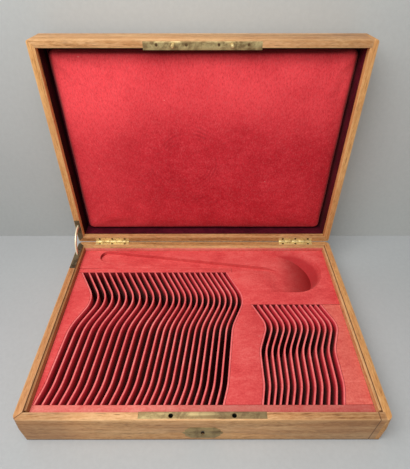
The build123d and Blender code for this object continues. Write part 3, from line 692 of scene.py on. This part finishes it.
print("arcs", round(arc_spacing / mm, 1), "mm apart round", arc_centre)

# %% [markdown]
# ## Shade of the ladle's hollow
# The walls and the deep end of the hollow lie in shade, painted into the velvet, and its narrow groove ends
# in a small crescent of painted shade.
# The depth of the hollow and the groove's end are measured on the CAD block itself.

# %% Shade of the hollow
ramp_red, wall_red, crescent_red = (138, 30, 30), (184, 50, 54), (134, 26, 32)
block = [v.co for v in nodes["tray_ladle_block"].data.vertices]
seam_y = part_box("tray_middle_deck")[1][1]
hollow_depth = max(deck_top - co.z for co in block if co.z > deck_bottom + mm)
groove_left = min(co.x for co in block if deck_bottom + mm < co.z < deck_top - mm and co.y > seam_y + 3 * mm)


def shade_hollow(tree, place, base):
    """Darken the deep end of the ladle's ramp, and its walls, which the attribute "wall" marks."""
    x, y, z = parts_of(tree, place)
    depth = calc(tree, "DIVIDE", calc(tree, "SUBTRACT", deck_top, z), hollow_depth, clamp=True)
    ramp_shade = steps(
        tree, depth, (0.26, (0.0,) * 4), (0.45, (0.34,) * 4), (0.62, (0.66,) * 4), (0.95, (1.0,) * 4))
    wall_shade = steps(tree, depth, (0.0, (0.12,) * 4), (0.24, (0.34,) * 4), (0.40, (0.85,) * 4))
    crescent = between(tree, x, groove_left + 9 * mm, groove_left + 1 * mm, 0.0, 0.9)
    on_ramp = tint(tree, base, ramp_red, ramp_shade)
    on_wall = tint(tree, tint(tree, base, wall_red, wall_shade), crescent_red, crescent)
    wall = put(tree, "Attribute", attribute_name="wall").outputs["Fac"]
    return blend(tree, wall, on_ramp, on_wall)


print("hollow", round(hollow_depth / mm, 1), "mm deep, its groove from x", round(groove_left, 4))

# %% [markdown]
# ## Velvet for one piece
# The tone comes first, then the wear with the pad's painted light and shade and a painted shade that deepens
# towards the right, then the painted shade of the slots and the hollow, and last the thin lines of painted
# shade along the seams. How a slot darkens on its way down is written in steps, because it is nearly black
# long before its bottom.

# %% Velvet finish
crimson = dict(dark=(204, 62, 64), middle=(226, 86, 84), light=(240, 112, 106), lint=(246, 200, 184))
falloff_shade_red, seam_shade_red = (120, 50, 44), (92, 14, 20)
down_the_slot = ((0.0, (236, 96, 100)), (0.08, (222, 66, 80)), (0.22, (206, 44, 60)), (0.36, (166, 26, 38)),
                 (0.52, (128, 20, 24)), (0.70, (92, 8, 12)), (0.92, (58, 3, 6)))


def velvet(name, seed, tone=crimson, sheen=0.3, slots_before=None, hollow=False, seams=False, dimmer=(),
           pad_sides=None):
    """Velvet of one tone.

    It darkens down the slots that lie in front of slots_before, as painted shade. hollow adds the painted
    shade of the ladle's hollow, seams the thin lines of painted shade that the attribute "seam" marks, and
    pad_sides the age and the painted light and shade of the pad between its two sides in x. Each dimmer run,
    a painted shade that deepens towards the right, has a start and an end in x and a share.
    """
    material, tree, shader, place = new_material(name)
    nap = use(tree, velvet_nap, Place=place, Seed=seed)
    base = shades(tree, nap["Nap"], tone, (0.38, 0.50, 0.62))
    if pad_sides is not None:
        base = age_and_light_of_pad(tree, place, seed, base, pad_sides)
    # Painted shade that deepens towards the right.
    for start, end, share in dimmer:
        base = tint(tree, base, falloff_shade_red, mask(tree, run_in_x, place, Start=start, End=end, Most=share))
    base = tint(tree, base, tone["dark"], between(tree, nap["Pile"], 0.35, 0.75, 0.0, 0.2))
    base = tint(tree, base, tone["lint"], nap["Lint"])
    if slots_before is not None:
        depth = use(tree, slot_depth, Place=place, Behind=slots_before)["Depth"]
        shade = steps(tree, depth, *[(at, linear(*colour)) for at, colour in down_the_slot])
        base = blend(tree, between(tree, depth, 0.01, 0.05), base, shade)
    if hollow:
        base = shade_hollow(tree, place, base)
    # Thin lines of painted shade in the creases and at the ends of the slots.
    if seams:
        base = tint(tree, base, seam_shade_red, put(tree, "Attribute", attribute_name="seam").outputs["Fac"])
    rough = between(tree, nap["Nap"], 0.3, 0.7, 0.95, 0.82)
    fill(tree, shader, **{
        "Base Color": base, "Roughness": rough, "Normal": raised(tree, nap["Height"], 0.6 * mm, 0.5),
        "Sheen Weight": sheen, "Sheen Roughness": 0.45, "Sheen Tint": linear(255, 150, 140),
        "Specular IOR Level": 0.1,
    })
    return material


print("slots turn dark in", len(down_the_slot), "steps")

# %% [markdown]
# ## Tray pieces
# Every deck, strip and bar is a shaped core with velvet stretched over it, so its upper edges are round and
# nothing is sharp. The bars, which are only 2.3 mm thick, are paler along their tops, a painted highlight
# where the round tops catch the light. Where two covered pieces meet, a thin dark line of painted shade marks
# the crease: along the sideways edges of the decks and at the ends of the slots. The middle deck and the
# block with the ladle's hollow look like one piece, so the edges where they meet stay sharp and show no line.

# %% Edges to round and faces to mark
def on_top(a, b):
    """Both ends of an edge lie on top of the tray."""
    return min(a.z, b.z) > deck_top - 0.1 * mm


def off_seam(a, b):
    """The edge doesn't run along the line where the middle deck meets the ladle's block."""
    return max(abs(a.y - seam_y), abs(b.y - seam_y)) >= 0.2 * mm


def on_top_off_seam(a, b):
    """An edge of the middle deck that shows."""
    return on_top(a, b) and off_seam(a, b)


def hollow_edges(a, b):
    """An edge of the ladle's block that shows."""
    return min(a.z, b.z) >= deck_bottom + mm and off_seam(a, b)


def slot_end_shade(face):
    """The painted shade of a face that closes a slot at its back."""
    return 0.9 if face.normal.y < -0.5 and face.center.z < deck_top - 0.4 * mm else 0.0


def deck_shade_lines(face):
    """The painted shade of a deck's faces: in its sideways bevels and at the ends of the slots."""
    bevel = 0.15 < face.normal.z < 0.9 and abs(face.normal.x) > abs(face.normal.y)
    return 0.75 if bevel and face.center.z > deck_top - mm else slot_end_shade(face)


def block_shade_lines(face):
    """The painted shade of the block's front, where it closes slots."""
    return slot_end_shade(face) if face.center.y < seam_y + 2 * mm else 0.0


def steep(face):
    """1 for the walls of the hollow and 0 for its ramp and the top."""
    return 1.0 if face.normal.z < 0.75 else 0.0


def mark(piece, name, share):
    """Store a share for each face in an attribute that the material reads."""
    marks = piece.data.attributes.new(name, "FLOAT", "FACE")
    for face in piece.data.polygons:
        marks.data[face.index].value = share(face)


print("the middle deck ends at y", round(seam_y, 4))

# %% [markdown]
# ## Decks, strips and bars
# Each group of pieces has its own velvet, from the deep crimson of the decks to the painted highlight on the
# tops of the bars.
# The tray's floor is only a dark ground at the bottom of the slots, so it keeps its CAD shape.

# %% Velvet-covered tray
pale_red = dict(dark=(209, 92, 85), middle=(226, 125, 112), light=(238, 150, 136), lint=(250, 214, 196))
painted_highlight_red = dict(dark=(228, 98, 98), middle=(242, 118, 116), light=(250, 144, 138), lint=(255, 200, 190))
faded_red = dict(dark=(206, 84, 76), middle=(226, 112, 98), light=(240, 138, 122), lint=(248, 206, 190))
maroon = dict(dark=(50, 4, 14), middle=(78, 10, 28), light=(100, 22, 38), lint=(120, 70, 70))
everywhere = 1.0
# The dimmer runs on the decks and the front strip are painted shade that deepens towards the right.
deck_velvet = velvet("deck_velvet", 1.7, slots_before=everywhere, seams=True, dimmer=((0.0, 0.02, 0.1),))
right_velvet = velvet("right_deck_velvet", 8.3, faded_red, slots_before=everywhere, seams=True)
# The back lining takes the paler red as painted light, so no shade shows where it meets the deck.
back_velvet = velvet("back_lining_velvet", 3.7, pale_red, slots_before=everywhere)
strip_velvet = velvet("strip_velvet", 2.9, pale_red, slots_before=everywhere, dimmer=((-0.09, 0.03, 0.3),))
# The bars' pale tone is a painted highlight on their round tops.
bar_velvet = velvet("bar_velvet", 4.3, painted_highlight_red, sheen=0.15, slots_before=everywhere)
hollow_velvet = velvet("hollow_velvet", 6.1, slots_before=seam_y + 2 * mm, hollow=True, seams=True)
tray_pieces = (
    ("tray_front_strip", strip_velvet, 0.8, on_top), ("tray_back_strip", deck_velvet, 0.8, on_top),
    ("tray_back_lining", back_velvet, 0.4, None), ("tray_left_deck", deck_velvet, 0.8, on_top),
    ("tray_middle_deck", deck_velvet, 0.8, on_top_off_seam), ("tray_right_deck", right_velvet, 0.8, on_top),
    ("table_bars_wide", bar_velvet, 0.6, on_top), ("table_bars_narrow", bar_velvet, 0.6, on_top),
    ("table_border_bars", bar_velvet, 0.6, on_top), ("coffee_bars", bar_velvet, 0.6, on_top),
    ("coffee_border_bars", bar_velvet, 0.6, on_top), ("tray_ladle_block", hollow_velvet, 1.0, hollow_edges),
)
for node, cloth, width, where in tray_pieces:
    name = "velvet_" + node.replace("tray_", "")
    piece = worn_copy(node, name, width * mm, 3 if where else 2, where, whole=cloth != hollow_velvet)
    # The seam marks are painted shade in the creases between pieces.
    if cloth in (deck_velvet, right_velvet):
        mark(piece, "seam", deck_shade_lines)
    elif cloth == hollow_velvet:
        mark(piece, "seam", block_shade_lines)
        mark(piece, "wall", steep)
    seat(piece, "case", cloth, node)
dress("tray_floor", velvet("tray_floor_velvet", 5.5, maroon, sheen=0.1, slots_before=everywhere))

# %% [markdown]
# ## Linings of the lid
# Thin strips in maroon velvet run round the inside of the lid behind the pad. All lie in its shade, and the
# ones at the front and on the left look nearly black in the photograph, so these two have a darker tone.

# %% Lid linings
night = dict(dark=(26, 2, 5), middle=(46, 5, 10), light=(64, 10, 16), lint=(100, 60, 60))
lining_velvet = velvet("lid_lining_velvet", 9.1, maroon, sheen=0.05)
dark_velvet = velvet("lid_lining_dark_velvet", 9.7, night, sheen=0.0)
linings = dict(front=dark_velvet, back=lining_velvet, left=dark_velvet, right=lining_velvet)
for side, cloth in linings.items():
    node = "lid_lining_" + side
    seat(worn_copy(node, "velvet_" + node, 0.4 * mm), "lid", cloth, node)
dress("lid_pad_board", lining_velvet)

# %% [markdown]
# ## The padded panel
# The panel in the lid is wadding under velvet, drawn round a board. Wadding swells most in the middle and
# pulls in along the sides between the corners. Cloth simulation gives that shape: the pad's CAD solid is
# rebuilt from even cells, and air pressure swells it while its back stays pinned to the board.

# %% Even cells and a held back
pad = copy_of("lid_pad", "velvet_lid_pad")
pick(pad)
even = pad.modifiers.new("cells", "REMESH")
even.mode, even.voxel_size = "VOXEL", 4.5 * mm
bpy.ops.object.modifier_apply(modifier="cells")
pad.data.materials.clear()


def shut_depth(point):
    """How far a point lies above the pin axis with the lid turned shut."""
    y, z = point.y - lid_axis[1], point.z - lid_axis[2]
    return sin(lid_angle) * y + cos(lid_angle) * z


depths = [shut_depth(v.co) for v in pad.data.vertices]
board_side = max(depths)
held_depth = 5.0 * mm
held = pad.vertex_groups.new(name="held")
for vertex, depth in zip(pad.data.vertices, depths):
    if depth > board_side - held_depth:
        held.add([vertex.index], 1.0, "REPLACE")
print("pad of", len(pad.data.vertices), "points,", round((board_side - min(depths)) / mm, 1), "mm thick")

# %% [markdown]
# ## Swelling
# Twenty steps of cloth are enough for the pressure to fill the pad. No point may move further than a cap,
# which keeps the swelling as shallow as in the photograph. The result goes into the mesh and the modifier is
# removed.

# %% Air pressure
cap = 2.5 * mm
before = [v.co.copy() for v in pad.data.vertices]
cloth = pad.modifiers.new("wadding", "CLOTH")
cloth.settings.use_pressure = True
cloth.settings.uniform_pressure_force = 4.0
cloth.settings.effector_weights.gravity = 0.0
cloth.settings.vertex_group_mass = "held"
cloth.settings.quality = 6
cloth.collision_settings.use_collision = False
for moment in range(1, 21):
    scene.frame_set(moment)
settled = pad.evaluated_get(bpy.context.evaluated_depsgraph_get())
moved = [v.co.copy() for v in settled.data.vertices]
pad.modifiers.remove(cloth)
scene.frame_set(1)
for vertex, old, new in zip(pad.data.vertices, before, moved):
    move = new - old
    vertex.co = old + move * min(1.0, cap / max(move.length, 1e-9))
furthest = max((v.co - old).length for v, old in zip(pad.data.vertices, before))
print("pad moved by up to", round(furthest / mm, 2), "mm")

# %% [markdown]
# ## Draped sides
# The velvet is pulled round the two ends of the board, so there the pad's face curves down over about 12 mm.
# The ends also bulge until they nearly touch the linings: the right one more than the left, and most near the
# lid's front. A move that grows with the square of the distance leaves the middle as it is.

# %% Drape and widen
drape, drape_share = 12.0 * mm, 0.55
flank, lowest = 4.0 * mm, 3.0 * mm
right_room, left_room = 4.4 * mm, 2.6 * mm
room_at_back = 0.6
to_board = Vector((0.0, sin(lid_angle), cos(lid_angle)))
back_z, front_z = [corner[2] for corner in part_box("lid_pad")]
right_edge = max(v.co.x for v in pad.data.vertices)
left_edge = min(v.co.x for v in pad.data.vertices)
for vertex in pad.data.vertices:
    fullness = max(0.0, vertex.co.x / right_edge)
    front_share = min(1.0, max(0.0, (vertex.co.z - back_z) / (front_z - back_z)))
    near_side = min(right_edge - vertex.co.x, vertex.co.x - left_edge)
    depth = shut_depth(vertex.co)
    if near_side < drape and depth < board_side - flank:
        drop = drape - (drape ** 2 - (drape - max(near_side, 0.0)) ** 2) ** 0.5
        vertex.co += to_board * min(drop, board_side - lowest - depth) * drape_share
    vertex.co.x += right_room * fullness ** 2 * (room_at_back + (1 - room_at_back) * front_share)
    vertex.co.x -= left_room * max(0.0, vertex.co.x / left_edge) ** 2
pad_sides = (left_edge - left_room, right_edge + right_room)
print("pad from x", round(pad_sides[0], 4), "to", round(pad_sides[1], 4))

# %% [markdown]
# ## Velvet of the pad
# One subdivision rounds off the cells. The pad's velvet has the deepest red of all, under the painted light
# of its top.

# %% Finish of the pad
deep = dict(dark=(182, 28, 40), middle=(202, 40, 52), light=(222, 58, 68), lint=(240, 170, 156))
pick(pad)
fine = pad.modifiers.new("fine", "SUBSURF")
fine.levels = fine.render_levels = 1
bpy.ops.object.modifier_apply(modifier="fine")
smooth(pad, 180.0)
seat(pad, "lid", velvet("pad_velvet", 12.4, deep, pad_sides=pad_sides), "lid_pad")

# %% [markdown]
# ## Brass
# The hinges and the studs are bright yellow brass with fine scratches. The stay's arm is painted near white,
# a painted highlight of its thin lit edge. The lock's plates and the stay's plates have gone dull and brown
# where the lacquer wore off. One group makes the tarnish and the scratches, and each metal takes as much of
# them as its age needs.

# %% Brass finishes
brown_tarnish = (118, 96, 66)
hole_shade = (24, 18, 14)


def build_metal_age():
    """Blots of tarnish, fine scratches along x, and a dented height."""
    tree, start, end = new_group(
        "metal age", dict(Place="Vector", Seed="Float"), ("Tarnish", "Scratch", "Height"))
    place, seed = start.outputs["Place"], start.outputs["Seed"]
    tarnish = between(tree, cloud(tree, place, 70.0, 5.0, 0.68, seed, 0.4), 0.42, 0.66)
    scratch = between(tree, cloud(tree, place, (40, 900, 900), 2.0, 0.5, seed), 0.52, 0.70)
    dents = cloud(tree, place, 320.0, 2.0, 0.5, seed)
    height = calc(tree, "SUBTRACT", dents, calc(tree, "MULTIPLY", scratch, 0.5))
    fill(tree, end, Tarnish=tarnish, Scratch=scratch, Height=height)
    return tree


metal_age = build_metal_age()


def brass(name, clean, dull, roughness, metallic, seed, browner=None, hole=None):
    """Brass between a clean and a dull tone, browner between two x if asked, with painted shade round a hole.
    """
    material, tree, shader, place = new_material(name)
    age = use(tree, metal_age, Place=place, Seed=seed)
    base = blend(tree, age["Tarnish"], linear(*clean), linear(*dull))
    base = tint(tree, base, clean, age["Scratch"], 0.3)
    if browner is not None:
        brown = mask(tree, run_in_x, place, Start=browner[0], End=browner[1], Most=0.55)
        base = tint(tree, base, brown_tarnish, brown)
    # Painted shade in the keyhole.
    if hole is not None:
        dark = mask(tree, spot, place, Centre=hole, Squeeze=tall_spot, Inner=1.8 * mm, Outer=2.8 * mm)
        base = tint(tree, base, hole_shade, dark)
    rough = calc(tree, "ADD", roughness, calc(tree, "MULTIPLY", age["Tarnish"], 0.22))
    relief = raised(tree, age["Height"], 0.08 * mm, 0.5)
    fill(tree, shader, **{"Base Color": base, "Roughness": rough, "Metallic": metallic, "Normal": relief})
    return material


bright_brass = brass("bright_brass", (238, 216, 154), (188, 154, 96), 0.42, 0.6, 2.2)
gold_brass = brass("gold_brass", (204, 184, 130), (134, 112, 74), 0.46, 0.65, 3.4)
old_brass = brass("old_brass", (192, 170, 118), (138, 116, 80), 0.52, 0.55, 4.4, browner=(-0.02, 0.03))
olive_brass = brass("olive_brass", (174, 150, 102), (122, 100, 66), 0.55, 0.5, 6.1, hole=keyhole)
# The stay's arm is painted near white, a painted highlight of its thin lit edge.
highlight_brass = brass("highlight_brass", (252, 240, 206), (232, 212, 164), 0.35, 0.3, 5.2)
dark_brass = brass("dark_brass", (122, 108, 80), (74, 62, 44), 0.5, 0.6, 7.1)
screw_brass = brass("screw_brass", (120, 94, 60), (58, 40, 28), 0.5, 0.7, 8.8)
steel = brass("steel", (60, 56, 50), (34, 30, 26), 0.5, 0.6, 7.7)
print("metals from one group of", len(metal_age.nodes), "nodes")

# %% [markdown]
# ## Plates, leaves and screws
# Plates and leaves are what the eye meets, so they get softened copies. Screws, rivets, pins and the inside
# of the lock are small or hidden, and their CAD shape is right, so they only get their metal.

# %% Metal pieces
metal_pieces = [
    ("lock_selvedge", "case", "aged_brass", old_brass, 0.2),
    ("strike_plate", "lid", "brass", gold_brass, 0.12),
    ("strike_studs", "lid", "brass", bright_brass, 0.15),
    ("escutcheon", "case", "aged_brass", olive_brass, 0.2),
    ("stay_case_plate", "case", "aged_brass", dark_brass, 0.2),
    ("stay_lid_plate", "lid", "aged_brass", dark_brass, 0.2),
    ("stay_arm", "stay_arm", "brass", highlight_brass, 0.25),
]
for side in ("left", "right"):
    for body in ("case", "lid"):
        metal_pieces.append((f"hinge_{side}_{body}_leaf", body, "brass", bright_brass, 0.15))
for node, body, finish, metal, width in metal_pieces:
    seat(worn_copy(node, node + "_worn", width * mm, sharp=50.0), body, metal, node)
plain_metals = (
    (screw_brass, ("hinge_case_screws", "hinge_lid_screws", "strike_screws", "stay_case_screws",
                   "stay_lid_screws")),
    (old_brass, ("lock_screws", "lock_rivets", "escutcheon_pins")),
    (bright_brass, ("hinge_left_pin", "hinge_right_pin")),
    (steel, ("lock_case", "lock_cap", "lock_bolt", "lock_spring", "lock_key_pin")),
)
for metal, plain_nodes in plain_metals:
    for node in plain_nodes:
        dress(node, metal)
    print(metal.name, "on", ", ".join(plain_nodes))

# %% [markdown]
# ## Floor and backdrop
# The chest stands on a grey sheet with a grey wall close behind it. The wall would hide the chest from a view
# behind it, so its back is clear. It also lets light that has just left the lid's back pass, because a wall
# that close would otherwise keep the lid's back in the dark.

# %% Sheets
close_by = 0.15
cloud_grey, thread_grey = (90, 90, 90), (70, 70, 70)


def build_paper():
    """Faint clouds and threads of grey paper."""
    tree, start, end = new_group("paper", dict(Place="Vector"), ("Cloud", "Thread"))
    place = start.outputs["Place"]
    clouds = between(tree, cloud(tree, place, 6.0, 4.0, 0.6, 1.3), 0.3, 0.7, 0.0, 0.04)
    threads = between(tree, cloud(tree, place, 150.0, 4.0, 0.7, 4.0), 0.35, 0.65, 0.0, 0.045)
    fill(tree, end, Cloud=clouds, Thread=threads)
    return tree


paper = build_paper()


def grey(name, left, right):
    """Paper that shifts a little in tone from left to right."""
    material, tree, shader, place = new_material(name)
    fibre = use(tree, paper, Place=place)
    across = mask(tree, run_in_x, place, Start=-0.35, End=0.35, Most=1.0)
    base = blend(tree, across, linear(*left), linear(*right))
    base = tint(tree, base, cloud_grey, fibre["Cloud"])
    base = tint(tree, base, thread_grey, fibre["Thread"])
    fill(tree, shader, **{"Base Color": base, "Roughness": 0.9, "Specular IOR Level": 0.1})
    return material


def clear_from_behind(material):
    """Make a sheet clear from behind, and for light that comes from close by."""
    tree = material.node_tree
    mix = put(tree, "MixShader")
    behind = put(tree, "NewGeometry").outputs["Backfacing"]
    near = calc(tree, "LESS_THAN", put(tree, "LightPath").outputs["Ray Length"], close_by)
    feed(tree, calc(tree, "MAXIMUM", behind, near), mix.inputs[0])
    feed(tree, tree.nodes["Principled BSDF"].outputs[0], mix.inputs[1])
    feed(tree, put(tree, "BsdfTransparent").outputs[0], mix.inputs[2])
    feed(tree, mix.outputs[0], tree.nodes["Material Output"].inputs["Surface"])
    return material


def sheet(name, material, size, location, tilt):
    """A flat sheet with its place in its mesh."""
    deselect()
    bpy.ops.mesh.primitive_plane_add(size=size, location=location, rotation=(tilt, 0, 0))
    piece = bpy.context.object
    piece.name = name
    piece.data.materials.append(material)
    pick(piece)
    bpy.ops.object.transform_apply(location=True, rotation=True, scale=True)
    return piece


floor_grey = grey("floor_grey", (186, 188, 188), (193, 196, 196))
backdrop_grey = clear_from_behind(grey("backdrop_grey", (187, 189, 187), (200, 202, 199)))
floor = sheet("floor_sheet", floor_grey, 5.0, (0, -0.26, 0), 0.0)
backdrop = sheet("backdrop", backdrop_grey, 3.0, (0, 0.24, 1.5), radians(90))
print("floor and backdrop stand at", floor.data.vertices[0].co[:], backdrop.data.vertices[0].co[:])

# %% [markdown]
# ## Light
# One large soft lamp hangs high on the left in front, so shadows are faint and wide, and the world fills in
# the rest with plain white.

# %% Lamp and world
world = bpy.data.worlds.new("studio")
scene.world = world
world.use_nodes = True
sky = world.node_tree.nodes["Background"]
sky.inputs["Color"].default_value = (1.0, 1.0, 1.0, 1.0)
sky.inputs["Strength"].default_value = 0.38
lamp = bpy.data.objects.new("soft_lamp", bpy.data.lights.new("soft_lamp", "AREA"))
lamp.data.shape = "SQUARE"
lamp.data.size = 0.7
lamp.data.energy = 7.8
lamp.location = (-0.233, -0.327, 0.90)
aim = Vector((0.0, 0.05, 0.12))
lamp.rotation_euler = (aim - lamp.location).to_track_quat("-Z", "Y").to_euler()
scene.collection.objects.link(lamp)
print("lamp of", lamp.data.energy, "W at", [round(v, 3) for v in lamp.location])

# %% [markdown]
# ## Camera
# The camera looks down from in front. Its place, tilt and lens follow from where the corners of the case and
# of the lid lie in the photograph, and the shift frames the picture in the same way.

# %% Camera
camera = bpy.data.objects.new("camera", bpy.data.cameras.new("camera"))
scene.collection.objects.link(camera)
camera.location = (0.0046, -0.3482, 0.48865)
camera.rotation_euler = (radians(47.73), 0.0, radians(-0.057))
camera.data.lens = 28.93
camera.data.sensor_width = 36.0
camera.data.shift_x = -0.0036
camera.data.shift_y = 0.0387
scene.camera = camera
scene.view_settings.view_transform = "Standard"
print("camera at", tuple(camera.location))
